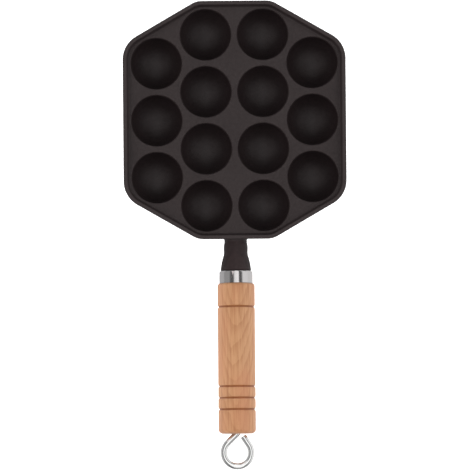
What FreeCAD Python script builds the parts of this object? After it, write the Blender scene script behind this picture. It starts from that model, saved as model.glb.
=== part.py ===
# A hand-held takoyaki pan: an iron casting with 14 wells and a neck, a metal cap, a turned wood grip
# and a wire rod that screws the grip to the neck and ends in a hanging eye.
# Lengths are in millimetres and angles in degrees. Z is up, the pan stands on its cup bottoms at Z 0,
# the handle runs towards -Y and rises, and the origin is under the middle of the whole object.
import FreeCAD, Part
import math
import os

import Sketcher
from FreeCAD import Placement, Rotation, Vector

SIZES = [
    ("well_radius", 20.0, "ball radius of a well"),
    ("well_depth", 18.8, "well, from the plate's top face down to its bottom"),
    ("well_land", 4.5, "plate left between two neighbouring wells"),
    ("well_rows", 4, "wells in each of the two inner columns; an outer column has one fewer"),
    ("mouth_round", 0.8, "rounding of a well's mouth"),
    ("cup_wall", 3.2, "iron round a well"),
    ("cup_floor", 2.7, "iron under a well, down to the flat that the pan stands on"),
    ("foot_cut", 0.5, "cut off a cup's round bottom, for the flat that the pan stands on"),
    ("plate_thickness", 4.0, "plate between the wells"),
    ("plate_edge_round", 1.5, "rounding of the plate's lower outer edge"),
    ("cup_root_round", 2.0, "hollow rounding between the cups, and between a cup and the plate"),
    ("rim_height", 4.5, "rim above the plate's top face"),
    ("rim_land", 1.6, "plate left between an outer well and the foot of the rim"),
    ("rim_top_width", 3.0, "flat top of the rim, roundings included"),
    ("rim_slope_width", 1.5, "inner side of the rim, seen from above"),
    ("rim_outer_round", 1.0, "rounding of the rim's outer edge"),
    ("rim_inner_round", 0.7, "rounding of the rim's inner edge"),
    ("rim_foot_round", 1.0, "rounding where the rim meets the plate"),
    ("wall_draft", 3.0, "draft of the outer wall, narrower downwards"),
    ("end_corner_radius", 16.0, "outline corners at the two ends"),
    ("side_corner_radius", 21.0, "outline corners at the two sides"),
    ("handle_rise", 5.0, "rise of the handle's axis towards the eye"),
    ("neck_drop", 1.95, "top of the neck at the outer wall, below the rim's top"),
    ("neck_length", 25.2, "neck, from the outer wall to its end face"),
    ("neck_inner_length", 10.0, "neck's rounded end under the plate, from the outer wall inwards"),
    ("neck_inner_round", 9.0, "rounding of that end"),
    ("neck_inner_skin", 0.5, "plate over the neck's inner end"),
    ("neck_root_station", 2.9, "narrow section beside the wall, from the wall"),
    ("neck_root_radius", 8.85, "neck at that section"),
    ("neck_knuckle_round", 20.0, "slight swelling between the root and the waist"),
    ("neck_waist_station", 9.6, "start of the waist, from the wall"),
    ("neck_waist_radius", 9.35, "neck at the start of the waist"),
    ("neck_waist_round", 8.0, "hollow of the waist"),
    ("neck_flare_station", 13.1, "start of the flare, from the wall"),
    ("neck_flare_radius", 9.65, "neck at the start of the flare"),
    ("neck_flare_round", 50.0, "swelling of the flare"),
    ("neck_end_radius", 12.0, "round end of the neck"),
    ("neck_end_round", 1.2, "rounding of the neck's end"),
    ("nose_radius", 6.0, "centring nose on the neck's end face"),
    ("nose_length", 8.0, "nose, from the neck's end face"),
    ("thread_radius", 3.0, "crest of the rod's thread"),
    ("thread_reach", 16.0, "thread inside the neck, from its end face"),
    ("thread_length", 26.0, "whole thread on the rod"),
    ("tap_spare", 2.0, "tapped hole past the end of the rod"),
    ("cap_radius", 13.1, "outside of the metal cap"),
    ("cap_length", 9.7, "metal cap"),
    ("cap_wall", 0.6, "sheet of the metal cap"),
    ("cap_round", 1.2, "outer rounding of the cap's closed end"),
    ("grip_radius", 14.55, "outside of the wood grip"),
    ("grip_length", 117.0, "wood grip, from the cap to its rear face"),
    ("grip_front_round", 2.0, "rounding of the grip's front corner"),
    ("grip_rear_round", 3.5, "rounding of the grip's rear corner"),
    ("groove_width", 2.2, "groove at the grip's surface"),
    ("groove_depth", 0.9, "groove"),
    ("groove_edge_round", 0.4, "rounding of a groove's edges"),
    ("front_groove_station", 18.3, "middle of the front groove, from the grip's front shoulder"),
    ("rear_groove_station", 19.0, "middle of the last rear groove, from the grip's rear face"),
    ("rear_groove_pitch", 8.9, "between the rear grooves"),
    ("rear_grooves", 3, "grooves near the rear face"),
    ("wire_radius", 2.7, "wire of the rod and the eye"),
    ("eye_radius", 10.65, "middle of the wire round the eye"),
    ("eye_distance", 14.6, "middle of the eye, from the grip's rear face"),
    ("eye_lead_angle", 46.0, "turn of the wire from the rod into the eye"),
    ("eye_tail_angle", 33.0, "tail of the eye against the handle's axis"),
    ("eye_bend_radius", 4.5, "middle of the wire at the bend into the eye"),
    ("tail_round", 0.5, "rounding of the wire's tail"),
    ("thread_lead", 1.0, "chamfer at the start of the thread"),
    ("nose_clearance", 0.15, "round the nose, in the cap and in the grip"),
    ("nose_spare", 1.0, "past the end of the nose in the grip"),
    ("cap_clearance", 0.05, "between the cap and the wood inside it"),
    ("thread_clearance", 0.05, "between the thread's crest and the tapped hole"),
    ("rod_clearance", 0.2, "between the thread's crest and the bore of the grip"),
    ("bend_clearance", 0.35, "between the bent wire and the mouth of the bore"),
    ("tail_clearance", 0.35, "between the wire's tail and the grip's rear face"),
]

# Places that follow from the sizes, each written from the ones above it. The wells stand in a lattice of
# equal triangles, so the plate's slanted sides turn 30 degrees from its ends.
PLACES = [
    ("ball_height", "sizes.cup_floor + sizes.well_radius"),
    ("plate_top", "places.ball_height - (sizes.well_radius - sizes.well_depth)"),
    ("plate_bottom", "places.plate_top - sizes.plate_thickness"),
    ("rim_top", "places.plate_top + sizes.rim_height"),
    ("mouth_radius", "sqrt(pow(sizes.well_radius; 2) - pow(places.ball_height - places.plate_top; 2))"),
    ("pitch", "2 * sizes.well_radius + sizes.well_land"),
    ("slant", "30"),
    ("inner_column", "places.pitch / 2"),
    ("outer_column", "places.inner_column + places.pitch * cos(places.slant)"),
    ("inner_reach", "places.pitch * (sizes.well_rows - 1) / 2"),
    ("outer_reach", "places.pitch * (sizes.well_rows - 2) / 2"),
    ("rim_foot", "sizes.well_radius + sizes.rim_land"),
    ("rim_inside", "places.rim_foot + sizes.rim_slope_width"),
    ("rim_outside", "places.rim_inside + sizes.rim_top_width"),
    ("half_width", "places.outer_column + places.rim_outside"),
    ("half_length", "places.inner_reach + places.rim_outside"),
    ("cup_radius", "sizes.well_radius + sizes.cup_wall"),
    ("cup_ball_height", "places.cup_radius - sizes.foot_cut"),
    ("foot_radius", "sqrt(pow(places.cup_radius; 2) - pow(places.cup_ball_height; 2))"),
    ("cup_top", "places.plate_bottom + sizes.plate_thickness / 2 - places.cup_ball_height"),
    ("cup_top_radius", "sqrt(pow(places.cup_radius; 2) - pow(places.cup_top; 2))"),
    ("root_depth", "places.cup_ball_height - places.plate_bottom"),
    ("root_radius", "sqrt(pow(places.cup_radius; 2) - pow(places.root_depth; 2))"),
    ("root_room", "places.pitch / 2 - places.root_radius"),
    ("root_limit", "places.root_room > 0 ? 0.9 * places.root_room : sizes.cup_root_round"),
    ("root_round", "min(sizes.cup_root_round; places.root_limit)"),
    ("shoulder", "sizes.cap_length"),
    ("rear_face", "places.shoulder + sizes.grip_length"),
    ("tenon_front", "sizes.cap_wall + sizes.cap_clearance"),
    ("tenon_radius", "sizes.cap_radius - sizes.cap_wall - sizes.cap_clearance"),
    ("nose_hole_radius", "sizes.nose_radius + sizes.nose_clearance"),
    ("nose_hole_end", "sizes.nose_length + sizes.nose_spare"),
    ("tap_radius", "sizes.thread_radius + sizes.thread_clearance"),
    ("bore_radius", "max(sizes.thread_radius; sizes.wire_radius) + sizes.rod_clearance"),
    ("groove_half", "sizes.groove_width / 2"),
    ("groove_round", "(pow(places.groove_half; 2) + pow(sizes.groove_depth; 2)) / (2 * sizes.groove_depth)"),
    ("bend_corner", "sizes.eye_distance - sizes.eye_radius / sin(sizes.eye_lead_angle)"),
    ("wire_half_cut", "sizes.wire_radius / cos(sizes.eye_lead_angle)"),
    ("bend_side", "places.wire_half_cut - places.bend_corner * tan(sizes.eye_lead_angle)"),
    ("mouth_of_bore", "places.bend_side + sizes.bend_clearance"),
    ("handle_length", "places.rear_face + sizes.eye_distance + sizes.eye_radius"),
    ("handle_reach", "places.handle_length * cos(sizes.handle_rise)"),
    ("neck_axis_height", "places.rim_top - sizes.neck_drop - sizes.neck_root_radius"),
    ("neck_inner_radius", "places.plate_top - sizes.neck_inner_skin - places.neck_axis_height"),
    ("neck_end_reach", "places.half_length + sizes.neck_length * cos(sizes.handle_rise)"),
    ("neck_end_height", "places.neck_axis_height + sizes.neck_length * sin(sizes.handle_rise)"),
    ("eye_end_reach", "places.neck_end_reach + places.handle_reach + sizes.wire_radius"),
    ("pan_middle", "(places.eye_end_reach - places.half_length) / 2"),
]

# How near, in millimetres, an edge lies to the place where a feature looks for it.
NEAR = 0.01

document = FreeCAD.newDocument("takoyaki_pan")


def fill_sheet():
    """Puts every driving size into the sheet, one row each: its name, its number and what it is."""
    sheet = document.addObject("Spreadsheet::Sheet", "sizes")
    for row, (name, number, note) in enumerate(SIZES, start=1):
        sheet.set(f"A{row}", name)
        sheet.set(f"B{row}", str(number))
        sheet.set(f"C{row}", note)
        sheet.setAlias(f"B{row}", name)
    document.recompute()


def fill_places():
    """Adds the places that follow from the sizes, each bound to its formula."""
    holder = document.addObject("App::VarSet", "places")
    for name, formula in PLACES:
        holder.addProperty("App::PropertyFloat", name, "places")
        holder.setExpression(name, formula)
    document.recompute()
    return holder


fill_sheet()
places = fill_places()


def number(formula):
    """The number that a formula over the sizes and places gives now."""
    return float(places.evalExpression(formula))


def new_body(name):
    """An empty body whose label names its file."""
    body = document.addObject("PartDesign::Body", name)
    body.Label = name
    return body


def origin_part(body, role):
    """One plane or axis of a body's own origin."""
    return next(part for part in body.Origin.OriginFeatures if part.Role == role)


def new_sketch(body, name, plane, offset=("0", "0", "0"), spin="0"):
    """A sketch on one of the body's origin planes, moved and spun within the plane's own axes."""
    sketch = body.newObject("Sketcher::SketchObject", name)
    sketch.AttachmentSupport = [(origin_part(body, plane), "")]
    sketch.MapMode = "FlatFace"
    sketch.AttachmentOffset = Placement(Vector(), Rotation(Vector(0, 0, 1), 1))
    for axis, formula in zip("xyz", offset):
        sketch.setExpression(f".AttachmentOffset.Base.{axis}", formula)
    sketch.setExpression(".AttachmentOffset.Rotation.Angle", spin)
    return sketch


def hold(sketch, constraint, formula):
    """Adds a driving constraint whose size follows a formula."""
    index = sketch.addConstraint(constraint)
    name = f"size_{index}"
    sketch.renameConstraint(index, name)
    sketch.setExpression(f"Constraints.{name}", formula)


def arc_between(start, end, radius, turn):
    """The arc of less than half a turn from start to end, turning left or right on the way."""
    chord = end - start
    side = 1 if turn == "left" else -1
    height = math.sqrt(max(radius**2 - (chord.Length / 2) ** 2, 0))
    across = Vector(-chord.y, chord.x, 0).normalize()
    centre = (start + end) / 2 + across * height * side
    first, last = (start, end) if side > 0 else (end, start)
    angles = [math.atan2(point.y - centre.y, point.x - centre.x) for point in (first, last)]
    return Part.ArcOfCircle(Part.Circle(centre, Vector(0, 0, 1), radius), angles[0], angles[1])


def draw(sketch, corners, closed=True):
    """Draws lines and arcs from corner to corner, each corner held at its own formulas.

    A corner (x, y) is reached by a straight line. A corner (x, y, radius, turn) is reached by an arc.
    """
    points = [Vector(number(corner[0]), number(corner[1]), 0) for corner in corners]
    steps = range(len(corners)) if closed else range(1, len(corners))
    ends = {}
    for step in steps:
        arc = corners[step][2:]
        if arc:
            shape = arc_between(points[step - 1], points[step], number(arc[0]), arc[1])
        else:
            shape = Part.LineSegment(points[step - 1], points[step])
        index = sketch.addGeometry(shape, False)
        backwards = bool(arc) and arc[1] == "right"
        ends[step] = (index, 2, 1) if backwards else (index, 1, 2)
    for step in steps:
        index, tail, head = ends[step]
        after = (step + 1) % len(corners)
        if after in ends:
            first, start, _ = ends[after]
            sketch.addConstraint(Sketcher.Constraint("Coincident", index, head, first, start))
    for step, (corner, point) in enumerate(zip(corners, points)):
        index, _, place = ends[step] if step in ends else (ends[1][0], 0, ends[1][1])
        hold(sketch, Sketcher.Constraint("DistanceX", -1, 1, index, place, point.x), corner[0])
        hold(sketch, Sketcher.Constraint("DistanceY", -1, 1, index, place, point.y), corner[1])
        if corner[2:]:
            hold(sketch, Sketcher.Constraint("Radius", index, number(corner[2])), corner[2])
    document.recompute()


def draw_circle(sketch, radius):
    """A circle about the sketch's origin."""
    index = sketch.addGeometry(Part.Circle(Vector(), Vector(0, 0, 1), number(radius)), False)
    sketch.addConstraint(Sketcher.Constraint("Coincident", index, 3, -1, 1))
    hold(sketch, Sketcher.Constraint("Radius", index, number(radius)), radius)
    document.recompute()


def extrude(body, kind, name, sketch, length, backwards, taper="0"):
    """A pad or pocket of a sketch."""
    feature = body.newObject(f"PartDesign::{kind}", name)
    feature.Profile = sketch
    feature.Reversed = backwards
    feature.setExpression("Length", length)
    feature.setExpression("TaperAngle", taper)
    document.recompute()
    return feature


def turn(body, kind, name, sketch, axis):
    """A revolution or groove of a sketch, a full turn about one of the sketch's axes."""
    feature = body.newObject(f"PartDesign::{kind}", name)
    feature.Profile = sketch
    feature.ReferenceAxis = (sketch, [axis])
    feature.Angle = 360
    document.recompute()
    return feature


def dress(body, kind, name, size, chosen):
    """Fillets or chamfers the edges of the body that a test chooses."""
    base = body.Tip
    edges = [f"Edge{i}" for i, edge in enumerate(base.Shape.Edges, start=1) if chosen(edge)]
    if not edges:
        raise RuntimeError(f"{name} finds no edge")
    feature = body.newObject(f"PartDesign::{kind}", name)
    feature.Base = (base, edges)
    feature.setExpression("Radius" if kind == "Fillet" else "Size", size)
    document.recompute()
    return feature


def at_height(edge, height):
    """Whether an edge lies level at a height."""
    box = edge.BoundBox
    return abs(box.ZMin - height) < NEAR and abs(box.ZMax - height) < NEAR


def spread_wells(body, feature, rows, name):
    """Repeats a well's feature down its column, and in the column on the other side."""
    down = document.addObject("PartDesign::LinearPattern", f"{name}_rows")
    down.Direction = (origin_part(body, "Y_Axis"), [""])
    down.setExpression("Length", f"places.pitch * ({rows} - 1)")
    down.setExpression("Occurrences", rows)
    across = document.addObject("PartDesign::Mirrored", f"{name}_sides")
    across.MirrorPlane = (origin_part(body, "YZ_Plane"), [""])
    both = body.newObject("PartDesign::MultiTransform", name)
    both.Originals = [feature]
    both.Transformations = [down, across]
    body.Tip = both
    document.recompute()


def outline(sketch, reach, less_radius):
    """The plate's outline: eight straight sides that stand at one distance from the outer wells.

    The corners at the ends turn by the slant and those at the sides by the rest of a right angle, and
    less_radius is how much tighter they are than the outer ones.
    """
    end_half = "(places.slant / 2)"
    side_half = "((90 - places.slant) / 2)"
    end_x = f"(places.inner_column + ({reach}) * tan({end_half}))"
    end_y = f"(places.inner_reach + ({reach}))"
    side_x = f"(places.outer_column + ({reach}))"
    side_y = f"(places.outer_reach + ({reach}) * tan({side_half}))"
    end_radius = f"(sizes.end_corner_radius - ({less_radius}))"
    side_radius = f"(sizes.side_corner_radius - ({less_radius}))"
    end_run = f"({end_radius} * tan({end_half}))"
    side_run = f"({side_radius} * tan({side_half}))"
    along = "cos(places.slant)"
    down = "sin(places.slant)"
    quarter = [
        (f"{end_x} - {end_run}", end_y),
        (f"{end_x} + {end_run} * {along}", f"{end_y} - {end_run} * {down}", end_radius, "right"),
        (f"{side_x} - {side_run} * {along}", f"{side_y} + {side_run} * {down}"),
        (side_x, f"{side_y} - {side_run}", side_radius, "right"),
    ]
    corners = []
    for flip_x, flip_y in ((1, 1), (1, -1), (-1, -1), (-1, 1)):
        straight = flip_x == flip_y
        order = quarter if straight else list(reversed(quarter))
        for place, corner in enumerate(order):
            arc = ()
            if place in (1, 3):
                arc = (end_radius if (place == 1) == straight else side_radius, "right")
            corners.append((f"{flip_x} * ({corner[0]})", f"{flip_y} * ({corner[1]})") + arc)
    draw(sketch, corners)


def add_plate(body):
    """The plate with its outer wall and the tray inside the rim, all edges rounded."""
    edge = new_sketch(body, "plate_outline", "XY_Plane", ("0", "0", "places.rim_top"))
    outline(edge, "places.rim_outside", "0")
    wall = "places.rim_top - places.plate_bottom"
    extrude(body, "Pad", "plate", edge, wall, True, "-1 * sizes.wall_draft")
    inside = new_sketch(body, "tray_outline", "XY_Plane", ("0", "0", "places.rim_top"))
    outline(inside, "places.rim_inside", "sizes.rim_top_width")
    slope = "-1 * atan(sizes.rim_slope_width / sizes.rim_height)"
    extrude(body, "Pocket", "tray", inside, "sizes.rim_height", False, slope)
    top = number("places.rim_top")
    foot = number("places.plate_top")
    bottom = number("places.plate_bottom")
    slant = math.radians(number("places.slant"))
    mid_rim = number("places.rim_outside - sizes.rim_top_width / 2")
    ends = number("places.inner_reach") + mid_rim
    sides = number("places.outer_column") + mid_rim
    slanted = number("places.inner_column") * math.sin(slant) + number("places.inner_reach") * math.cos(slant)

    def outer_top(edge):
        if not at_height(edge, top):
            return False
        middle = edge.valueAt((edge.FirstParameter + edge.LastParameter) / 2)
        across = abs(middle.x) * math.sin(slant) + abs(middle.y) * math.cos(slant)
        return abs(middle.y) > ends or abs(middle.x) > sides or across > slanted + mid_rim

    def inner_top(edge):
        return at_height(edge, top) and not outer_top(edge)

    dress(body, "Fillet", "rim_outer_edge", "sizes.rim_outer_round", outer_top)
    dress(body, "Fillet", "rim_inner_edge", "sizes.rim_inner_round", inner_top)
    dress(body, "Fillet", "rim_foot", "sizes.rim_foot_round", lambda e: at_height(e, foot))
    dress(body, "Fillet", "plate_lower_edge", "sizes.plate_edge_round", lambda e: at_height(e, bottom))


def add_cups(body):
    """The 14 cups under the plate and the wells in them, in two inner and two outer columns."""
    columns = [
        ("inner", "places.inner_column", "places.inner_reach", "sizes.well_rows"),
        ("outer", "places.outer_column", "places.outer_reach", "(sizes.well_rows - 1)"),
    ]
    for side, column, reach, rows in columns:
        shell = new_sketch(body, f"{side}_cup_profile", "XZ_Plane", (column, "places.cup_ball_height", reach))
        shell_corners = [
            ("0", "places.cup_top"),
            ("0", "-1 * places.cup_ball_height"),
            ("places.foot_radius", "-1 * places.cup_ball_height"),
            ("places.cup_top_radius", "places.cup_top", "places.cup_radius", "left"),
        ]
        draw(shell, shell_corners)
        cup = turn(body, "Revolution", f"{side}_cup", shell, "V_Axis")
        spread_wells(body, cup, rows, f"{side}_cups")
    at_plate = number("places.root_radius")
    at_neighbour = math.sqrt(max(number("pow(places.cup_radius; 2) - pow(places.pitch / 2; 2)"), 0))

    def cup_root(edge):
        return is_circle(edge, at_plate) or is_circle(edge, at_neighbour)

    dress(body, "Fillet", "cup_roots", "places.root_round", cup_root)
    for side, column, reach, rows in columns:
        hollow = new_sketch(body, f"{side}_well_profile", "XZ_Plane", (column, "places.ball_height", reach))
        hollow_corners = [
            ("0", "places.plate_top - places.ball_height"),
            ("0", "-1 * sizes.well_radius"),
            ("places.mouth_radius", "places.plate_top - places.ball_height", "sizes.well_radius", "left"),
        ]
        draw(hollow, hollow_corners)
        well = turn(body, "Groove", f"{side}_well", hollow, "V_Axis")
        spread_wells(body, well, rows, f"{side}_wells")
    mouth = number("places.mouth_radius")
    dress(body, "Fillet", "well_mouths", "sizes.mouth_round", lambda e: is_circle(e, mouth))


def add_neck(body):
    """The neck, turned about the handle's axis, with its nose and its tapped hole."""
    place = ("-1 * places.half_length", "places.neck_axis_height", "0")
    spin = "180 - sizes.handle_rise"
    profile = new_sketch(body, "neck_profile", "YZ_Plane", place, spin)
    nose_end = "sizes.neck_length + sizes.nose_length"
    rim_width = "(sizes.rim_top_width + sizes.rim_slope_width)"
    neck_corners = [
        ("-1 * sizes.neck_inner_length", "0"),
        (f"-1 * {rim_width}", "places.neck_inner_radius", "sizes.neck_inner_round", "right"),
        ("0", "sizes.neck_root_radius"),
        ("sizes.neck_root_station", "sizes.neck_root_radius"),
        ("sizes.neck_waist_station", "sizes.neck_waist_radius", "sizes.neck_knuckle_round", "right"),
        ("sizes.neck_flare_station", "sizes.neck_flare_radius", "sizes.neck_waist_round", "left"),
        ("sizes.neck_length", "sizes.neck_end_radius", "sizes.neck_flare_round", "right"),
        ("sizes.neck_length", "sizes.nose_radius"),
        (nose_end, "sizes.nose_radius"),
        (nose_end, "0"),
    ]
    draw(profile, neck_corners)
    turn(body, "Revolution", "neck", profile, "H_Axis")
    tap = new_sketch(body, "tapped_hole_profile", "YZ_Plane", place, spin)
    tap_end = "sizes.neck_length - sizes.thread_reach - sizes.tap_spare"
    tap_corners = [
        (tap_end, "0"),
        (tap_end, "places.tap_radius"),
        (nose_end, "places.tap_radius"),
        (nose_end, "0"),
    ]
    draw(tap, tap_corners)
    turn(body, "Groove", "tapped_hole", tap, "H_Axis")
    radius = number("sizes.neck_end_radius")
    dress(body, "Fillet", "neck_end_edge", "sizes.neck_end_round", lambda e: is_circle(e, radius))


def is_circle(edge, radius):
    """Whether an edge is an arc or circle of a radius."""
    if edge.Degenerated:
        return False
    return isinstance(edge.Curve, Part.Circle) and abs(edge.Curve.Radius - radius) < NEAR


def make_pan_casting():
    """The whole iron casting."""
    body = new_body("pan_casting")
    add_plate(body)
    add_cups(body)
    add_neck(body)
    body.setExpression(".Placement.Base.y", "places.pan_middle")
    return body


def new_handle_body(name):
    """A body in the handle's own frame: X along the axis from the neck's end face, Y across, Z up."""
    body = new_body(name)
    origin = "vector(0; places.pan_middle - places.neck_end_reach; places.neck_end_height)"
    body.setExpression("Placement", f"placement({origin}; rotation(-90; -1 * sizes.handle_rise; 0))")
    return body


def turned_piece(name, corners):
    """A piece turned about the handle's axis from a profile of (station, radius) corners."""
    body = new_handle_body(name)
    profile = new_sketch(body, f"{name}_profile", "XY_Plane")
    draw(profile, corners)
    turn(body, "Revolution", f"{name}_turned", profile, "H_Axis")
    return body


def make_ferrule_cap():
    """The drawn metal cup over the front of the grip, with a hole for the nose."""
    inside = "sizes.cap_radius - sizes.cap_wall"
    corners = [
        ("0", "places.nose_hole_radius"),
        ("0", "sizes.cap_radius - sizes.cap_round"),
        ("sizes.cap_round", "sizes.cap_radius", "sizes.cap_round", "right"),
        ("sizes.cap_length", "sizes.cap_radius"),
        ("sizes.cap_length", inside),
        ("sizes.cap_round", inside),
        ("sizes.cap_wall", "sizes.cap_radius - sizes.cap_round", "sizes.cap_round - sizes.cap_wall", "left"),
        ("sizes.cap_wall", "places.nose_hole_radius"),
    ]
    return turned_piece("ferrule_cap", corners)


def make_handle_grip():
    """The turned wood grip, with a tenon in the cap, four cut grooves and a stepped bore."""
    front = "places.shoulder"
    rear = "places.rear_face"
    tenon_round = "(sizes.cap_round - sizes.cap_wall + sizes.cap_clearance)"
    corners = [
        ("places.nose_hole_end", "places.bore_radius"),
        ("places.nose_hole_end", "places.nose_hole_radius"),
        ("places.tenon_front", "places.nose_hole_radius"),
        ("places.tenon_front", f"places.tenon_radius - {tenon_round}"),
        (f"places.tenon_front + {tenon_round}", "places.tenon_radius", tenon_round, "right"),
        (front, "places.tenon_radius"),
        (front, "sizes.grip_radius - sizes.grip_front_round"),
        (f"{front} + sizes.grip_front_round", "sizes.grip_radius", "sizes.grip_front_round", "right"),
    ]
    middles = [f"{front} + sizes.front_groove_station"]
    for count in reversed(range(int(number("sizes.rear_grooves")))):
        middles.append(f"{rear} - sizes.rear_groove_station - {count} * sizes.rear_groove_pitch")
    half = "places.groove_half"
    for middle in middles:
        corners += [
            (f"{middle} - {half}", "sizes.grip_radius"),
            (f"{middle} + {half}", "sizes.grip_radius", "places.groove_round", "left"),
        ]
    corners += [
        (f"{rear} - sizes.grip_rear_round", "sizes.grip_radius"),
        (rear, "sizes.grip_radius - sizes.grip_rear_round", "sizes.grip_rear_round", "right"),
        (rear, "places.mouth_of_bore"),
        (f"{rear} - (places.mouth_of_bore - places.bore_radius)", "places.bore_radius"),
    ]
    body = turned_piece("handle_grip", corners)
    edge_radius = number("sizes.grip_radius")
    ends = [number(f"{middle} {sign} {half}") for middle in middles for sign in "+-"]

    def groove_edge(edge):
        if not is_circle(edge, edge_radius):
            return False
        return any(abs(edge.Curve.Center.x - end) < NEAR for end in ends)

    dress(body, "Fillet", "groove_edges", "sizes.groove_edge_round", groove_edge)
    return body


def make_eye_rod():
    """One wire: the threaded end in the neck, the rod through the grip and the hanging eye."""
    body = new_handle_body("eye_rod")
    face = "places.rear_face"
    start = "-1 * sizes.thread_reach"
    thread_end = "(sizes.thread_length - sizes.thread_reach)"
    lead = "sizes.eye_lead_angle"
    tail = "sizes.eye_tail_angle"
    bend = "sizes.eye_bend_radius"
    middle = f"({face} + sizes.eye_distance)"
    bend_start = f"({face} + places.bend_corner - {bend} * tan({lead} / 2))"
    tail_end = f"({face} + sizes.tail_clearance + sizes.wire_radius * sin({tail}))"
    tail_start = f"({middle} - sizes.eye_radius * sin({tail}))"
    tail_side = f"(sizes.eye_radius * cos({tail}))"
    tip_side = f"({tail_side} - ({tail_start} - {tail_end}) * tan({tail}))"
    route = [
        (thread_end, "0"),
        (bend_start, "0"),
        (f"{bend_start} + {bend} * sin({lead})", f"-1 * {bend} * (1 - cos({lead}))", bend, "right"),
        (f"{middle} - sizes.eye_radius * sin({lead})", f"-1 * sizes.eye_radius * cos({lead})"),
        (f"{middle} + sizes.eye_radius", "0", "sizes.eye_radius", "left"),
        (tail_start, tail_side, "sizes.eye_radius", "left"),
        (tail_end, tip_side),
    ]
    path = new_sketch(body, "wire_route", "XY_Plane")
    draw(path, route, closed=False)
    section = new_sketch(body, "wire_section", "YZ_Plane", ("0", "0", thread_end))
    draw_circle(section, "sizes.wire_radius")
    wire = body.newObject("PartDesign::AdditivePipe", "wire")
    wire.Profile = section
    wire.Spine = path
    document.recompute()
    crest = new_sketch(body, "thread_circle", "YZ_Plane", ("0", "0", start))
    draw_circle(crest, "sizes.thread_radius")
    extrude(body, "Pad", "thread", crest, "sizes.thread_length", False)
    start_at = number(start)
    crest_radius = number("sizes.thread_radius")
    wire_radius = number("sizes.wire_radius")
    tip = Vector(number(tail_end), number(tip_side), 0)

    def front_edge(edge):
        return is_circle(edge, crest_radius) and abs(edge.Curve.Center.x - start_at) < NEAR

    def tail_edge(edge):
        return is_circle(edge, wire_radius) and (edge.Curve.Center - tip).Length < NEAR

    dress(body, "Chamfer", "thread_lead", "sizes.thread_lead", front_edge)

    dress(body, "Fillet", "tail_edge", "sizes.tail_round", tail_edge)
    return body


def check_document():
    """Stops if any object of the document has failed."""
    document.recompute()
    failed = [item.Name for item in document.Objects if {"Invalid", "Error"} & set(item.State)]
    if failed:
        raise RuntimeError(f"failed objects: {failed}")


def export(bodies):
    """Writes each piece to its own file."""
    for body in bodies:
        if body.Shape.isNull() or not body.Shape.isValid():
            raise RuntimeError(f"{body.Label} has no valid shape")
    os.makedirs("parts", exist_ok=True)
    for body in bodies:
        body.Shape.exportStep(f"parts/{body.Label}.step")
        print(f"{body.Label}: {len(body.Shape.Solids)} solid, {body.Shape.Volume:.0f} cubic mm")


pieces = [make_pan_casting(), make_ferrule_cap(), make_handle_grip(), make_eye_rod()]
check_document()
export(pieces)
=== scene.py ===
import math

import bmesh
import bpy
from mathutils import Matrix, Vector


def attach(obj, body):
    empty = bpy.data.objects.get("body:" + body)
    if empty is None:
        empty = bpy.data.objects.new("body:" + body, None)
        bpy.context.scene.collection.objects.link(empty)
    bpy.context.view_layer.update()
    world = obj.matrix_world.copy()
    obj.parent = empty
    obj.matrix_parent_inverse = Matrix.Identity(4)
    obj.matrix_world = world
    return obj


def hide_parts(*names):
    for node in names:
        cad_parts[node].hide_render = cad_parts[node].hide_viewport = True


bl_info = {
    "name": "Takoyaki pan",
    "version": (1, 0, 0),
    "blender": (4, 5, 0),
    "location": "View3D > Sidebar > Takoyaki pan",
    "description": "Finishes the iron casting, turns the beech grip and its metal cap, and sets the stage",
    "category": "Object",
}

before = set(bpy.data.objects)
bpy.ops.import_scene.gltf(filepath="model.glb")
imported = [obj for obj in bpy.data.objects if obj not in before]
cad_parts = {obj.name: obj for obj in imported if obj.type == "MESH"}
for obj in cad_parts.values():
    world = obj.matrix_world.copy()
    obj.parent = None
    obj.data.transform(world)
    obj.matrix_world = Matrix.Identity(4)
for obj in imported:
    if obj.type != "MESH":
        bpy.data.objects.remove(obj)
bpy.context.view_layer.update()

# The casting, in metres. Heights are above the floor.
PLATE_TOP = 0.0215
RIM_TOP = 0.026
WALL_TOP_Y = -0.003262  # outer wall beside the neck, at the rim's top
WALL_DRAFT = math.radians(3)
EDGE_TOP = 0.019  # where the plate's lower outer edge starts to round
EDGE_ROUND = 0.0015
NECK_AXIS = 0.0152  # height of the neck's axis at the wall
NECK_ROOT = 0.00885  # radius of the neck at the wall
HANDLE_RISE = math.radians(5)

# Where the iron's look changes: a start and an end, as heights, or along Y for the neck.
# Below this band the iron darkens: partly the seasoning oil's own tone, partly painted shade in the wells
# and underneath.
WELL_SHADE = (PLATE_TOP - 0.004, PLATE_TOP - 0.0003)
# Painted light: the lowest part of the wells is painted lighter, where it faces up.
LIT_WELL_BOTTOMS = (0.0036, 0.0075)
# A lighter band along the top of the rim.
RIM_TOP_BAND = (RIM_TOP - 0.0012, RIM_TOP - 0.0002)
NECK_SHADE = (-0.0048, -0.0038)

# The hollow rounding at the neck's root. Angles are measured round the neck from its top.
BLEND_SECTION = 0.001  # size at which the section is drawn, before it is scaled
BLEND_END = math.radians(78)
BLEND_FADE = 0.16
BLEND_WIDENS = (0.17, 0.70)  # angle where it starts to widen, and over how much
BLEND_SUNK = 0.00003  # how far it reaches into the wall and the neck, so that no crack shows
BLEND_STEPS = 72

# The handle's insides, in metres.
HOLE = 0.00615  # hole for the nose, in the cap and in the front of the grip
HOLE_DEPTH = 0.0090
BORE = 0.0032
BORE_MOUTH = 0.00445
TENON = 0.01245  # radius of the wood inside the cap
TENON_FRONT = 0.00065
FRONT_GROOVE = 0.0183  # from the shoulder
LAST_GROOVE = 0.019  # from the rear face
GROOVE_PITCH = 0.0089
TURN_STEPS = 128
ROUNDING_STEPS = 8

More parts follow.
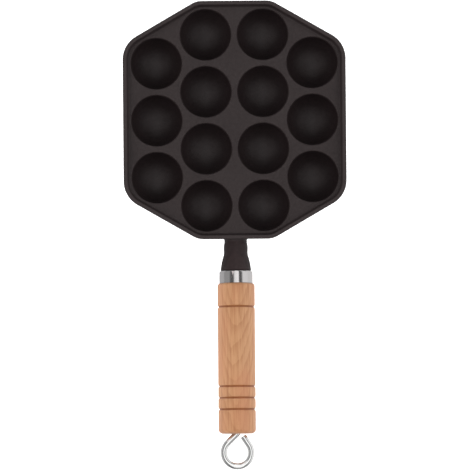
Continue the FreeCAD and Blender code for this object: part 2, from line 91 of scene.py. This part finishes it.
# Roundings of the turned pieces' edges, in metres.
GRIP_FRONT_ROUND = 0.002
GRIP_REAR_ROUND = 0.0035
TENON_ROUND = 0.00065
MOUTH_ROUND = 0.0003
GROOVE_LIP_ROUND = 0.0005
GROOVE_FOOT_ROUND = 0.0002
GROOVE_FLOOR = 0.2  # flat part of a groove's width
CAP_OUTER_ROUND = 0.0012
CAP_INNER_ROUND = 0.0006
CAP_LIP_ROUND = 0.0002
CAP_EDGE_ROUND = 0.0001

# The beech. Each pattern is so many per metre along the grip, across it and up.
PITH = 0.055  # how far the middle of the tree lies below the grip's axis
WANDER = (14.0, 60.0, 60.0)
FIBRES = (40.0, 800.0, 800.0)
STREAKS = (22.0, 330.0, 330.0)
FLECKS = (420.0, 2300.0, 2300.0)
CLOUDS = (20.0, 45.0, 45.0)
GROOVE_DARKENING = (0.0008, 0.00015)  # below the grip's surface: fully darker, and where the darkening starts
PLAIN_ENDS = (0.006, 0.007)  # from the grip's ends, where its rounding isn't a groove
REAR_STATIONS = (0.080, 0.125)  # where the wood deepens towards the eye
CUT_END = (0.0009, 0.0001)  # before the rear face, where the end grain shows

# The metal's patterns, each so many per metre.
LATHE_RINGS = 2600.0
SMEARS = 140.0
RIPPLES = 170.0
HAZE = 900.0

# The stage, in metres.
CAMERA_OVER = (-0.00048, -0.00007)
FLOOR_RADIUS = 4.0
FLOOR_DROP = 0.0001  # below the cup bottoms, so that the two faces don't flicker

# Light and dark strips of the sky along the handle: angle from straight above, to the right, and level.
STRIPS = [
    (-180, 0.55), (-120, 0.55), (-90, 0.38), (-48, 0.38), (-38, 0.14), (-18, 0.12), (-10, 1.0), (17, 1.25),
    (22, 0.12), (38, 0.12), (50, 0.92), (84, 0.88), (180, 0.75)]
EYE_SKY = (-0.80, -0.35)  # darkest and first dark part of the sky behind the eye, along Y
EYE_FLOOR = (-0.16, -0.12)  # the same in the floor's mirrored tone
WHITE = (1.0, 1.0, 1.0)


class IronFinish(bpy.types.PropertyGroup):
    """The seasoned iron of the casting."""

    dark: bpy.props.FloatVectorProperty(
        name="Dark iron", description="Seasoned iron between the grains",
        default=(0.0158, 0.0114, 0.0115), size=3, min=0, max=1, subtype="COLOR")
    light: bpy.props.FloatVectorProperty(
        name="Light iron", description="Seasoned iron on the grains and in the lighter clouds",
        default=(0.0280, 0.0212, 0.0212), size=3, min=0, max=1, subtype="COLOR")
    # Partly the seasoning oil's tone and partly painted shade, on all iron below the plate's top except
    # the neck.
    oiled_shaded: bpy.props.FloatVectorProperty(
        name="Wells tint", description="Darkens the iron in the wells",
        default=(0.46, 0.42, 0.43), size=3, min=0, max=1, subtype="COLOR")
    neck: bpy.props.FloatVectorProperty(
        name="Neck tint", description="Darkens the iron of the neck",
        default=(0.74, 0.60, 0.61), size=3, min=0, max=1, subtype="COLOR")
    clouds: bpy.props.FloatProperty(
        name="Clouds", description="Faint clouds in the seasoning, per metre", default=38.0, min=1)
    grain: bpy.props.FloatProperty(
        name="Grain", description="Size of the cast grain", default=0.0009, min=0.0002, unit="LENGTH")
    grain_depth: bpy.props.FloatProperty(
        name="Grain depth", description="Depth of the cast grain", default=0.00020, min=0, unit="LENGTH")
    roughness: bpy.props.FloatProperty(
        name="Roughness", description="Roughness of the plate",
        default=0.62, min=0, max=1, subtype="FACTOR")
    root_top: bpy.props.FloatProperty(
        name="Root, top", description="Hollow rounding above the neck", default=0.0008, unit="LENGTH")
    root_side: bpy.props.FloatProperty(
        name="Root, sides", description="Hollow rounding beside the neck", default=0.003, unit="LENGTH")


class HandleSizes(bpy.types.PropertyGroup):
    """Where the handle starts and how it is turned, all stations from the front of the metal cap."""

    start: bpy.props.FloatVectorProperty(
        name="Start", description="Middle of the neck's end face, where the metal cap begins",
        default=(0.0, -0.028366, 0.017396), size=3, subtype="TRANSLATION")
    rise: bpy.props.FloatProperty(
        name="Rise", description="Rise of the handle's axis", default=HANDLE_RISE, subtype="ANGLE")
    shoulder: bpy.props.FloatProperty(
        name="Shoulder", description="Station of the grip's front shoulder", default=0.0097, unit="LENGTH")
    rear: bpy.props.FloatProperty(
        name="Rear", description="Station of the grip's rear face", default=0.1267, unit="LENGTH")
    radius: bpy.props.FloatProperty(
        name="Radius", description="Radius of the grip", default=0.01455, unit="LENGTH")
    groove_width: bpy.props.FloatProperty(
        name="Groove width", description="Width of a turned groove", default=0.0022, unit="LENGTH")
    groove_depth: bpy.props.FloatProperty(
        name="Groove depth", description="Depth of a turned groove", default=0.0009, unit="LENGTH")
    cap_radius: bpy.props.FloatProperty(
        name="Cap radius", description="Radius of the metal cap", default=0.0131, unit="LENGTH")
    cap_wall: bpy.props.FloatProperty(
        name="Cap wall", description="Sheet of the metal cap", default=0.0006, unit="LENGTH")


class WoodFinish(bpy.types.PropertyGroup):
    """The beech of the grip."""

    pale: bpy.props.FloatVectorProperty(
        name="Pale wood", description="Wood grown in spring",
        default=(0.492, 0.256, 0.122), size=3, min=0, max=1, subtype="COLOR")
    deep: bpy.props.FloatVectorProperty(
        name="Deep wood", description="Wood grown in late summer, at the edge of each year",
        default=(0.350, 0.152, 0.062), size=3, min=0, max=1, subtype="COLOR")
    warm: bpy.props.FloatVectorProperty(
        name="Warm tint", description="The redder clouds of the heartwood",
        default=(0.465, 0.196, 0.094), size=3, min=0, max=1, subtype="COLOR")
    # The bottoms of the turned grooves are darker.
    groove_tint: bpy.props.FloatVectorProperty(
        name="Grooves tint", description="Darkens the turned grooves",
        default=(0.50, 0.33, 0.20), size=3, min=0, max=1, subtype="COLOR")
    rear: bpy.props.FloatVectorProperty(
        name="Rear tint", description="Deepens the wood towards the eye",
        default=(0.93, 0.86, 0.84), size=3, min=0, max=1, subtype="COLOR")
    end_grain: bpy.props.FloatVectorProperty(
        name="End grain tint", description="Darkens the cut end of the grip",
        default=(0.80, 0.70, 0.62), size=3, min=0, max=1, subtype="COLOR")
    year: bpy.props.FloatProperty(
        name="Year", description="Thickness of one year's growth", default=0.0022, unit="LENGTH")
    slope: bpy.props.FloatProperty(
        name="Slope", description="Slope of the growth layers along the grip",
        default=math.radians(8), subtype="ANGLE")


class MetalFinish(bpy.types.PropertyGroup):
    """The polished cap and the bright wire."""

    cap: bpy.props.FloatVectorProperty(
        name="Cap", description="Polished sheet of the cap",
        default=(0.665, 0.645, 0.64), size=3, min=0, max=1, subtype="COLOR")
    wire: bpy.props.FloatVectorProperty(
        name="Wire", description="Plating of the wire",
        default=(0.90, 0.90, 0.895), size=3, min=0, max=1, subtype="COLOR")


class StageSizes(bpy.types.PropertyGroup):
    """The camera and the light."""

    distance: bpy.props.FloatProperty(
        name="Distance", description="Camera above the plate", default=1.95, unit="LENGTH")
    lens: bpy.props.FloatProperty(
        name="Lens", description="Focal length", default=191.5, unit="CAMERA")
    roll: bpy.props.FloatProperty(
        name="Roll", description="Turn of the object in the picture",
        default=math.radians(0.5), subtype="ANGLE")
    floor: bpy.props.FloatVectorProperty(
        name="Floor", description="Pale floor",
        default=(0.92, 0.92, 0.92), size=3, min=0, max=1, subtype="COLOR")
    overhead: bpy.props.FloatProperty(
        name="Overhead light", description="Power of the soft light above",
        default=12.0, min=0, unit="POWER")
    sides: bpy.props.FloatProperty(
        name="Side lights", description="Power of each of the two soft side lights",
        default=42.0, min=0, unit="POWER")
    sheen: bpy.props.FloatProperty(
        name="Well sheen", description="Power of the small light that the oiled wells shine with",
        default=0.16, min=0, unit="POWER")
    glow: bpy.props.FloatProperty(
        name="Table glow", description="Light that comes through the pale floor", default=1.0, min=0)


def add_node(tree, kind, settings=None, inputs=None, output=0):
    """One node: its settings first, then the values or links of its sockets, by name or in their order."""
    node = tree.nodes.new(kind)
    for name, setting in (settings or {}).items():
        if name == "stops":
            fill_ramp(node.color_ramp, setting)
        else:
            setattr(node, name, setting)
    for name, given in inputs.items() if isinstance(inputs, dict) else enumerate(inputs or ()):
        socket = named(node.inputs, name)
        if isinstance(given, Value):
            tree.links.new(given.socket, socket)
        else:
            socket.default_value = given
    return Value(tree, named(node.outputs, output)) if node.outputs else None


def named(sockets, name):
    """The socket in use that has a name, or that stands at a number."""
    if isinstance(name, int):
        return sockets[name]
    return next(socket for socket in sockets if socket.enabled and socket.name == name)


def fill_ramp(ramp, stops):
    """Gives a colour ramp its stops, each a place and a grey level."""
    while len(ramp.elements) < len(stops):
        ramp.elements.new(0.5)
    for element, (place, level) in zip(ramp.elements, stops):
        element.position = place
        element.color = (level, level, level, 1)


class Value:
    """A socket in shader maths; an expression on it adds the Math nodes that it needs."""

    def __init__(self, tree, socket):
        self.tree = tree
        self.socket = socket

    def maths(self, operation, *operands):
        return add_node(self.tree, "ShaderNodeMath", {"operation": operation}, operands)

    def __add__(self, other):
        return self.maths("ADD", self, other)

    def __sub__(self, other):
        return self.maths("SUBTRACT", self, other)

    def __rsub__(self, other):
        return self.maths("SUBTRACT", other, self)

    def __mul__(self, other):
        return self.maths("MULTIPLY", self, other)

    def __truediv__(self, other):
        return self.maths("DIVIDE", self, other)

    def __pow__(self, other):
        return self.maths("POWER", self, other)

    __radd__ = __add__
    __rmul__ = __mul__

    def root(self):
        return self.maths("SQRT", self)

    def fraction(self):
        return self.maths("FRACT", self)

    def rising(self, low, high):
        """0 below low and 1 above high, with a soft step between them."""
        return add_node(
            self.tree, "ShaderNodeMapRange", {"interpolation_type": "SMOOTHSTEP"},
            {"Value": self, "From Min": low, "From Max": high}, "Result")


class Finish:
    """A node tree being written, a material's or the world's."""

    def __init__(self, owner):
        owner.use_nodes = True
        self.tree = owner.node_tree
        self.tree.nodes.clear()

    def add(self, kind, settings=None, inputs=None, output=0):
        """One node in this tree."""
        return add_node(self.tree, kind, settings, inputs, output)

    def blend(self, factor, first, second):
        """A colour between two others."""
        return self.add(
            "ShaderNodeMix", {"data_type": "RGBA"},
            {"Factor": factor, "A": colour(first), "B": colour(second)}, "Result")

    def tint(self, factor, first, second):
        """A colour multiplied by another, as far as the factor says."""
        return self.add(
            "ShaderNodeMix", {"data_type": "RGBA", "blend_type": "MULTIPLY"},
            {"Factor": factor, "A": colour(first), "B": colour(second)}, "Result")

    def noise(self, where, scale, detail=2.0, roughness=0.5):
        """Soft noise from 0 to 1. A scale of three numbers stretches it along the axes."""
        if isinstance(scale, tuple):
            where, scale = self.add("ShaderNodeMapping", None, {"Vector": where, "Scale": scale}), 1.0
        return self.add(
            "ShaderNodeTexNoise", None,
            {"Vector": where, "Scale": scale, "Detail": detail, "Roughness": roughness}, "Fac")

    def split(self, where):
        """The three coordinates of a point."""
        node = self.add("ShaderNodeSeparateXYZ", None, {"Vector": where}).socket.node
        return [Value(self.tree, socket) for socket in node.outputs]

    def bump(self, height, distance, strength):
        """A normal that a height from 0 to 1 tilts, as if it were a relief of that distance."""
        return self.add(
            "ShaderNodeBump", None, {"Height": height, "Distance": distance, "Strength": strength})

    def by_ray(self, kind, others, these):
        """One shader for one kind of light path, such as a camera ray, and another for the rest."""
        path = self.add("ShaderNodeLightPath", output=kind)
        return self.add("ShaderNodeMixShader", None, (path, others, these))

    def surface(self, **inputs):
        """Closes a material with one surface, its sockets named with _ for each space."""
        sockets = {name.replace("_", " "): given for name, given in inputs.items()}
        self.close("ShaderNodeOutputMaterial", self.add("ShaderNodeBsdfPrincipled", None, sockets))

    def close(self, kind, shader):
        """Links the last shader to the tree's output."""
        self.add(kind, None, {"Surface": shader})


def colour(given):
    """A colour with its alpha, or a link as it is."""
    return given if isinstance(given, Value) else (*given, 1.0)


def dimmed(given, level):
    """A colour multiplied by a number."""
    return tuple(part * level for part in given)


def new_finish(name):
    """A new material and the point that its patterns read."""
    material = bpy.data.materials.new(name)
    finish = Finish(material)
    where = finish.add("ShaderNodeTexCoord", output="Object")
    return material, finish, where


def handle_matrix(sizes):
    """Handle frame to row frame: X runs along the handle to the eye, Z is its upper side."""
    lean = sizes.rise
    along = Vector((0, -math.cos(lean), math.sin(lean)))
    across = Vector((1, 0, 0))
    up = along.cross(across)
    axes = Matrix((along, across, up)).transposed().to_4x4()
    return Matrix.Translation(Vector(sizes.start)) @ axes


def along_handle(finish, where, sizes):
    """The point in the handle's own frame."""
    matrix = handle_matrix(sizes)
    return finish.add(
        "ShaderNodeMapping", {"vector_type": "TEXTURE"},
        {"Vector": where, "Location": matrix.translation, "Rotation": matrix.to_euler()})


def seasoned_iron(settings):
    """Seasoned cast iron: sand grain, clouds, wells darker by oil and painted shade, painted light at
    their bottoms, a lighter rim top.
    """
    material, finish, where = new_finish("seasoned_iron_finish")
    _, along, height = finish.split(where)
    clouds = finish.noise(where, settings.clouds, 4.0, 0.6)
    grain = finish.noise(where, 1 / settings.grain, 5.0, 0.62)
    pits = finish.noise(where, 2.6 / settings.grain, 2.0, 0.5)
    mottle = finish.noise(where, 0.38 / settings.grain, 2.0, 0.6)
    neck = 1 - along.rising(*NECK_SHADE)
    # Painted shade: all iron below the plate's top except the neck is darkened, wells and underside,
    # partly also the seasoning oil's tone.
    in_well = (1 - height.rising(*WELL_SHADE)) * (1 - neck)
    # Painted light: the wells' lowest part gets back some of its darkening, as if lit from above.
    lit_bottoms = in_well * (1 - height.rising(*LIT_WELL_BOTTOMS))
    # The top of the rim is lighter and a little smoother.
    on_rim = height.rising(*RIM_TOP_BAND)
    shade = clouds * 0.80 + grain * 0.60 + mottle * 1.1 - 0.80 + on_rim * 0.42
    base = finish.blend(shade, settings.dark, settings.light)
    base = finish.tint(in_well - lit_bottoms * 0.38, base, settings.oiled_shaded)
    base = finish.tint(neck, base, settings.neck)
    relief = grain + pits * 0.35 + mottle * 0.9
    rough = settings.roughness + (grain - 0.5) * 0.12 - in_well * 0.16 - on_rim * 0.04
    normal = finish.bump(relief, settings.grain_depth, 0.7)
    finish.surface(Base_Color=base, Roughness=rough, Specular_IOR_Level=0.3, Normal=normal)
    return material


def oiled_beech(settings, sizes):
    """Beech cut along the grain: sloping growth layers, long fibres, short flecks and darker grooves."""
    material, finish, where = new_finish("beech_finish")
    local = along_handle(finish, where, sizes)
    station, side, top = finish.split(local)
    wander = finish.noise(local, WANDER, 3.0, 0.5)
    fibre = finish.noise(local, FIBRES, 3.0, 0.55)
    streak = finish.noise(local, STREAKS, 2.0, 0.5)
    fleck = finish.noise(local, FLECKS, 1.0, 0.5).rising(0.60, 0.72)
    cloud = finish.noise(local, CLOUDS, 2.0, 0.5).rising(0.45, 0.75)
    from_pith = (side * side + (top + PITH) ** 2).root() - PITH
    years = (from_pith - station * math.tan(settings.slope)) / settings.year + (wander - 0.5) * 3.2
    growth = years.fraction()
    late = growth.rising(0.25, 0.92) - growth.rising(0.93, 1.0)
    shade = late * 0.42 + (fibre - 0.5) * 2.1 + (streak - 0.5) * 1.4 + 0.25 + fleck * 0.30
    wood = finish.blend(shade, settings.pale, settings.deep)
    wood = finish.blend(cloud * 0.55, wood, settings.warm)
    reach = (side * side + top * top).root()
    sunk = 1 - reach.rising(*(sizes.radius - below for below in GROOVE_DARKENING))
    behind_shoulder = station.rising(*(sizes.shoulder + away for away in PLAIN_ENDS))
    before_rear = 1 - station.rising(*(sizes.rear - away for away in reversed(PLAIN_ENDS)))
    groove = sunk * behind_shoulder * before_rear
    # The bottoms of the grooves are darker.
    wood = finish.tint(groove, wood, settings.groove_tint)
    cut = station.rising(*(sizes.rear - before for before in CUT_END))
    wood = finish.tint(station.rising(*REAR_STATIONS) * 0.6, wood, settings.rear)
    wood = finish.tint(cut * 0.5, wood, settings.end_grain)
    rough = 0.50 + (fibre - 0.5) * 0.22 + groove * 0.12
    normal = finish.bump(fibre * 0.7 + streak * 0.3 - fleck * 0.3, 0.00010, 0.6)
    finish.surface(Base_Color=wood, Roughness=rough, Sheen_Weight=0.1, Normal=normal)
    return material


def polished_sheet(settings, sizes):
    """Spun and polished sheet metal, with the faint rings that the lathe leaves."""
    material, finish, where = new_finish("polished_cap_finish")
    station = finish.split(along_handle(finish, where, sizes))[0]
    rings = finish.noise(finish.add("ShaderNodeCombineXYZ", None, {"X": station}), LATHE_RINGS, 3.0, 0.6)
    smear = finish.noise(where, SMEARS, 2.0, 0.5)
    rough = 0.13 + (rings - 0.5) * 0.10 + (smear - 0.5) * 0.05
    sheet = finish.blend(smear, settings.cap, dimmed(settings.cap, 0.94))
    normal = finish.bump(rings, 0.000012, 0.5)
    finish.surface(Base_Color=sheet, Metallic=1.0, Roughness=rough, Normal=normal)
    return material


def bright_plating(settings):
    """Bright plating over drawn wire, which leaves slight ripples along it."""
    material, finish, where = new_finish("bright_wire_finish")
    ripple = finish.noise(where, RIPPLES, 2.0, 0.5)
    haze = finish.noise(where, HAZE, 2.0, 0.5)
    rough = 0.10 + (haze - 0.5) * 0.06
    plating = finish.blend(ripple, settings.wire, dimmed(settings.wire, 0.93))
    normal = finish.bump(ripple, 0.00025, 0.5)
    finish.surface(Base_Color=plating, Metallic=0.92, Roughness=rough, Normal=normal)
    return material


def dress_node(node, material):
    """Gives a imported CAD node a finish."""
    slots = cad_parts[node].data.materials
    for place in range(len(slots)):
        slots[place] = material


def new_piece(name, bm, material, nodes=(), sharp=40):
    """An object from a finished bmesh, riding on the frame and standing for its CAD nodes."""
    bmesh.ops.remove_doubles(bm, verts=bm.verts, dist=1e-6)
    bmesh.ops.recalc_face_normals(bm, faces=bm.faces)
    mesh = bpy.data.meshes.new(name)
    bm.to_mesh(mesh)
    bm.free()
    mesh.polygons.foreach_set("use_smooth", [True] * len(mesh.polygons))
    mesh.set_sharp_from_angle(angle=math.radians(sharp))
    mesh.materials.append(material)
    piece = bpy.data.objects.new(name, mesh)
    bpy.context.scene.collection.objects.link(piece)
    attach(piece, "root")
    if nodes:
        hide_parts(*nodes)


def ring_of(bm, places):
    """A closed outline through places, as vertices that can be rounded and spun."""
    points = [bm.verts.new(place) for place in places]
    for first, second in zip(points, points[1:] + points[:1]):
        bm.edges.new((first, second))
    return points


def rounded(bm, point, size):
    """Rounds one corner of an outline."""
    bmesh.ops.bevel(
        bm, geom=[point], offset=size, offset_type="OFFSET", segments=ROUNDING_STEPS, profile=0.5,
        affect="VERTICES", material=-1)


def turned(corners):
    """A solid of revolution about X from corners, each a station, a radius and its rounding."""
    bm = bmesh.new()
    points = ring_of(bm, [(station, 0, radius) for station, radius, _ in corners])
    for point, (_, _, rounding) in zip(points, corners):
        if rounding:
            rounded(bm, point, rounding)
    bmesh.ops.spin(
        bm, geom=bm.verts[:] + bm.edges[:], cent=(0, 0, 0), axis=(1, 0, 0), angle=math.tau,
        steps=TURN_STEPS, use_merge=True, use_duplicate=False)
    return bm


def rising_from(low, high, amount):
    """0 below low and 1 above high, with a soft step between them."""
    share = min(max((amount - low) / (high - low), 0), 1)
    return share ** 2 * (3 - 2 * share)


class PAN_OT_finish_casting(bpy.types.Operator):
    """Gives the iron casting its seasoned finish"""

    bl_idname = "pan.finish_casting"
    bl_label = "Finish the casting"

    def execute(self, context):
        dress_node("pan_casting", seasoned_iron(context.scene.pan_iron))
        return {"FINISHED"}


def wall_face(height):
    """Where the drafted outer wall lies in Y beside the neck, with its rounded lower edge."""
    face = WALL_TOP_Y + (RIM_TOP - height) * math.tan(WALL_DRAFT)
    below = max(0.0, EDGE_TOP - height)
    return face + EDGE_ROUND - math.sqrt(max(EDGE_ROUND ** 2 - below ** 2, 0.0))


def even_blend():
    """A hollow rounding of one small size over the neck's axis, open below and closed at its ends."""
    bm = bmesh.new()
    behind = 0.3 * BLEND_SECTION
    points = ring_of(bm, [
        (0, behind, NECK_ROOT - behind), (0, 0, NECK_ROOT + BLEND_SECTION), (0, 0, NECK_ROOT),
        (0, -BLEND_SECTION, NECK_ROOT)])
    rounded(bm, points[2], 0.99 * BLEND_SECTION)
    bmesh.ops.rotate(bm, verts=bm.verts, cent=(0, 0, 0), matrix=Matrix.Rotation(-BLEND_END, 3, "Y"))
    bmesh.ops.spin(
        bm, geom=bm.verts[:] + bm.edges[:], cent=(0, 0, 0), axis=(0, 1, 0), angle=2 * BLEND_END,
        steps=BLEND_STEPS, use_merge=False, use_duplicate=False)
    bmesh.ops.holes_fill(bm, edges=[edge for edge in bm.edges if edge.is_boundary], sides=0)
    return bm


def laid_on_wall(point, iron):
    """Where a point of the even blend goes: scaled to the size it has there, and laid on wall and neck."""
    turn = math.atan2(point.x, point.z)
    widening = rising_from(BLEND_WIDENS[0], sum(BLEND_WIDENS), abs(turn))
    size = iron.root_top + (iron.root_side - iron.root_top) * widening
    size *= min(max((BLEND_END - abs(turn)) / BLEND_FADE, 0.04), 1)
    out = -point.y / BLEND_SECTION * size
    up = (math.hypot(point.x, point.z) - NECK_ROOT) / BLEND_SECTION * size
    reach = NECK_ROOT + up - BLEND_SUNK
    height = NECK_AXIS + out * math.tan(HANDLE_RISE) + reach * math.cos(turn)
    return Vector((reach * math.sin(turn), wall_face(height) - out + BLEND_SUNK, height))


class PAN_OT_blend_neck(bpy.types.Operator):
    """Blends the neck into the outer wall with a hollow rounding, wider at the sides than on top"""

    bl_idname = "pan.blend_neck"
    bl_label = "Blend the neck"

    def execute(self, context):
        bm = even_blend()
        for point in bm.verts:
            point.co = laid_on_wall(point.co, context.scene.pan_iron)
        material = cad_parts["pan_casting"].data.materials[0]
        new_piece("neck_blend", bm, material, sharp=50)
        return {"FINISHED"}


class PAN_OT_turn_grip(bpy.types.Operator):
    """Turns the beech grip with its tenon, grooves and bore"""

    bl_idname = "pan.turn_grip"
    bl_label = "Turn the grip"

    def execute(self, context):
        sizes = context.scene.pan_handle
        radius = sizes.radius
        floor = radius - sizes.groove_depth
        half = sizes.groove_width / 2
        foot = GROOVE_FLOOR * half
        corners = [
            (HOLE_DEPTH, BORE, 0), (HOLE_DEPTH, HOLE, 0), (TENON_FRONT, HOLE, 0),
            (TENON_FRONT, TENON, TENON_ROUND), (sizes.shoulder, TENON, 0),
            (sizes.shoulder, radius, GRIP_FRONT_ROUND)]
        middles = [sizes.shoulder + FRONT_GROOVE]
        middles += [sizes.rear - LAST_GROOVE - step * GROOVE_PITCH for step in (2, 1, 0)]
        for middle in middles:
            corners += [
                (middle - half, radius, GROOVE_LIP_ROUND), (middle - foot, floor, GROOVE_FOOT_ROUND),
                (middle + foot, floor, GROOVE_FOOT_ROUND), (middle + half, radius, GROOVE_LIP_ROUND)]
        corners += [
            (sizes.rear, radius, GRIP_REAR_ROUND), (sizes.rear, BORE_MOUTH, MOUTH_ROUND),
            (sizes.rear - (BORE_MOUTH - BORE), BORE, 0)]
        bm = turned(corners)
        bm.transform(handle_matrix(sizes))
        material = oiled_beech(context.scene.pan_wood, sizes)
        new_piece("turned_grip", bm, material, ["handle_grip"])
        return {"FINISHED"}


class PAN_OT_spin_cap(bpy.types.Operator):
    """Spins the thin metal cap over the front of the grip"""

    bl_idname = "pan.spin_cap"
    bl_label = "Spin the cap"

    def execute(self, context):
        sizes = context.scene.pan_handle
        wall = sizes.cap_wall
        outside = sizes.cap_radius
        inside = outside - wall
        bm = turned([
            (0, HOLE, CAP_EDGE_ROUND), (0, outside, CAP_OUTER_ROUND),
            (sizes.shoulder, outside, CAP_LIP_ROUND), (sizes.shoulder, inside, CAP_EDGE_ROUND),
            (wall, inside, CAP_INNER_ROUND), (wall, HOLE, CAP_EDGE_ROUND)])
        bm.transform(handle_matrix(sizes))
        material = polished_sheet(context.scene.pan_metal, sizes)
        new_piece("polished_ferrule", bm, material, ["ferrule_cap"])
        return {"FINISHED"}


class PAN_OT_plate_wire(bpy.types.Operator):
    """Gives the rod and its hanging eye their bright plating"""

    bl_idname = "pan.plate_wire"
    bl_label = "Plate the wire"

    def execute(self, context):
        dress_node("eye_rod", bright_plating(context.scene.pan_metal))
        return {"FINISHED"}


def studio_sky():
    """A soft sky whose light and dark strips run along the handle, so that the metal shows them."""
    world = bpy.data.worlds.new("studio")
    bpy.context.scene.world = world
    finish = Finish(world)
    across, along, up = finish.split(finish.add("ShaderNodeTexCoord", output="Generated"))
    turn = across.maths("ARCTAN2", across, up) / math.tau + 0.5
    stops = [(angle / 360 + 0.5, level) for angle, level in STRIPS]
    glow = finish.add("ShaderNodeValToRGB", {"stops": stops}, {"Fac": turn})
    behind_the_eye = (1 - along.rising(*EYE_SKY)) * 0.82
    glow = finish.tint(behind_the_eye, glow, dimmed(WHITE, 0.12))
    plain = finish.add("ShaderNodeBackground", None, {"Color": colour(dimmed(WHITE, 0.93))})
    reflected = finish.add("ShaderNodeBackground", None, {"Color": glow})
    finish.close("ShaderNodeOutputWorld", finish.by_ray("Is Camera Ray", reflected, plain))
    world.cycles_visibility.diffuse = False


def soft_light(name, place, size, power, glossy=False):
    """A soft light that shines at the pan, either only on matte surfaces or only in gloss."""
    light = bpy.data.lights.new(name, "AREA")
    light.shape = "RECTANGLE"
    light.size, light.size_y = size
    light.energy = power
    lamp = bpy.data.objects.new(name, light)
    lamp.location = place
    lamp.rotation_euler = (-Vector(place)).to_track_quat("-Z", "Y").to_euler()
    lamp.visible_glossy = glossy
    lamp.visible_diffuse = not glossy
    lamp.visible_camera = False
    bpy.context.scene.collection.objects.link(lamp)
    return light


def pale_floor_finish(stage):
    """A pale floor that glows like a light table; in the metal it shows as a plain tone on each side."""
    material, finish, where = new_finish("pale_floor_finish")
    across, along, _ = finish.split(where)
    tone = finish.blend(finish.noise(where, 3.0), stage.floor, dimmed(stage.floor, 0.995))
    table = finish.add("ShaderNodeBsdfPrincipled", None, {
        "Base Color": tone, "Roughness": 0.9, "Specular IOR Level": 0.0,
        "Emission Color": colour(WHITE), "Emission Strength": stage.glow})
    tones = finish.blend(across.rising(-0.03, 0.03), (0.55, 0.55, 0.56), dimmed(WHITE, 0.80))
    tones = finish.blend(1 - along.rising(*EYE_FLOOR), tones, dimmed(WHITE, 0.90))
    reflected = finish.add("ShaderNodeEmission", None, {"Color": tones})
    finish.close("ShaderNodeOutputMaterial", finish.by_ray("Is Glossy Ray", table, reflected))
    material.cycles.emission_sampling = "NONE"
    return material


def lay_floor(stage):
    """The floor that the pan stands on."""
    bm = bmesh.new()
    bmesh.ops.create_circle(
        bm, cap_ends=True, segments=96, radius=FLOOR_RADIUS,
        matrix=Matrix.Translation((0, 0, -FLOOR_DROP)))
    mesh = bpy.data.meshes.new("pale_floor")
    bm.to_mesh(mesh)
    bm.free()
    mesh.materials.append(pale_floor_finish(stage))
    floor = bpy.data.objects.new("pale_floor", mesh)
    bpy.context.scene.collection.objects.link(floor)


def light_pan(stage):
    """Soft light from above and both sides, and a small light that the oiled wells shine with."""
    soft_light("overhead", (0.15, -0.05, 2.3), (2.2, 2.2), stage.overhead)
    soft_light("left_side", (-1.6, -0.1, 1.25), (2.4, 1.8), stage.sides * 1.12)
    soft_light("right_side", (1.6, -0.1, 1.25), (2.4, 1.8), stage.sides)
    sheen = soft_light("well_sheen", (-0.22, 0.22, 0.55), (0.20, 0.20), stage.sheen, glossy=True)
    sheen.color = (1.0, 0.90, 0.90)


def place_camera(stage):
    """The camera straight above the object, as in the photograph."""
    camera = bpy.data.cameras.new("camera")
    camera.sensor_width = 36
    camera.lens = stage.lens
    camera.clip_end = 100
    viewer = bpy.data.objects.new("camera", camera)
    viewer.location = (*CAMERA_OVER, PLATE_TOP + stage.distance)
    viewer.rotation_euler = (0, 0, -stage.roll)
    bpy.context.scene.collection.objects.link(viewer)
    bpy.context.scene.camera = viewer


class PAN_OT_set_stage(bpy.types.Operator):
    """Lays the pale floor and sets the soft light and the camera"""

    bl_idname = "pan.set_stage"
    bl_label = "Set the stage"

    def execute(self, context):
        stage = context.scene.pan_stage
        studio_sky()
        lay_floor(stage)
        light_pan(stage)
        place_camera(stage)
        context.scene.view_settings.view_transform = "Standard"
        return {"FINISHED"}


STEPS = [
    PAN_OT_finish_casting, PAN_OT_blend_neck, PAN_OT_turn_grip, PAN_OT_spin_cap, PAN_OT_plate_wire,
    PAN_OT_set_stage]
GROUPS = {
    "pan_iron": IronFinish, "pan_handle": HandleSizes, "pan_wood": WoodFinish, "pan_metal": MetalFinish,
    "pan_stage": StageSizes}


class PAN_PT_sidebar(bpy.types.Panel):
    """The steps and settings of the pan"""

    bl_label = "Takoyaki pan"
    bl_idname = "PAN_PT_sidebar"
    bl_space_type = "VIEW_3D"
    bl_region_type = "UI"
    bl_category = "Takoyaki pan"

    def draw(self, context):
        for step in STEPS:
            self.layout.operator(step.bl_idname)
        for name, group in GROUPS.items():
            box = self.layout.box()
            for setting in group.__annotations__:
                box.prop(getattr(context.scene, name), setting)


def register():
    for group in GROUPS.values():
        bpy.utils.register_class(group)
    for name, group in GROUPS.items():
        setattr(bpy.types.Scene, name, bpy.props.PointerProperty(type=group))
    for step in STEPS:
        bpy.utils.register_class(step)
    bpy.utils.register_class(PAN_PT_sidebar)


def unregister():
    bpy.utils.unregister_class(PAN_PT_sidebar)
    for step in reversed(STEPS):
        bpy.utils.unregister_class(step)
    for name, group in GROUPS.items():
        delattr(bpy.types.Scene, name)
        bpy.utils.unregister_class(group)


def main():
    register()
    bpy.ops.pan.finish_casting()
    bpy.ops.pan.blend_neck()
    bpy.ops.pan.turn_grip()
    bpy.ops.pan.spin_cap()
    bpy.ops.pan.plate_wire()
    bpy.ops.pan.set_stage()


if __name__ == "__main__":
    main()
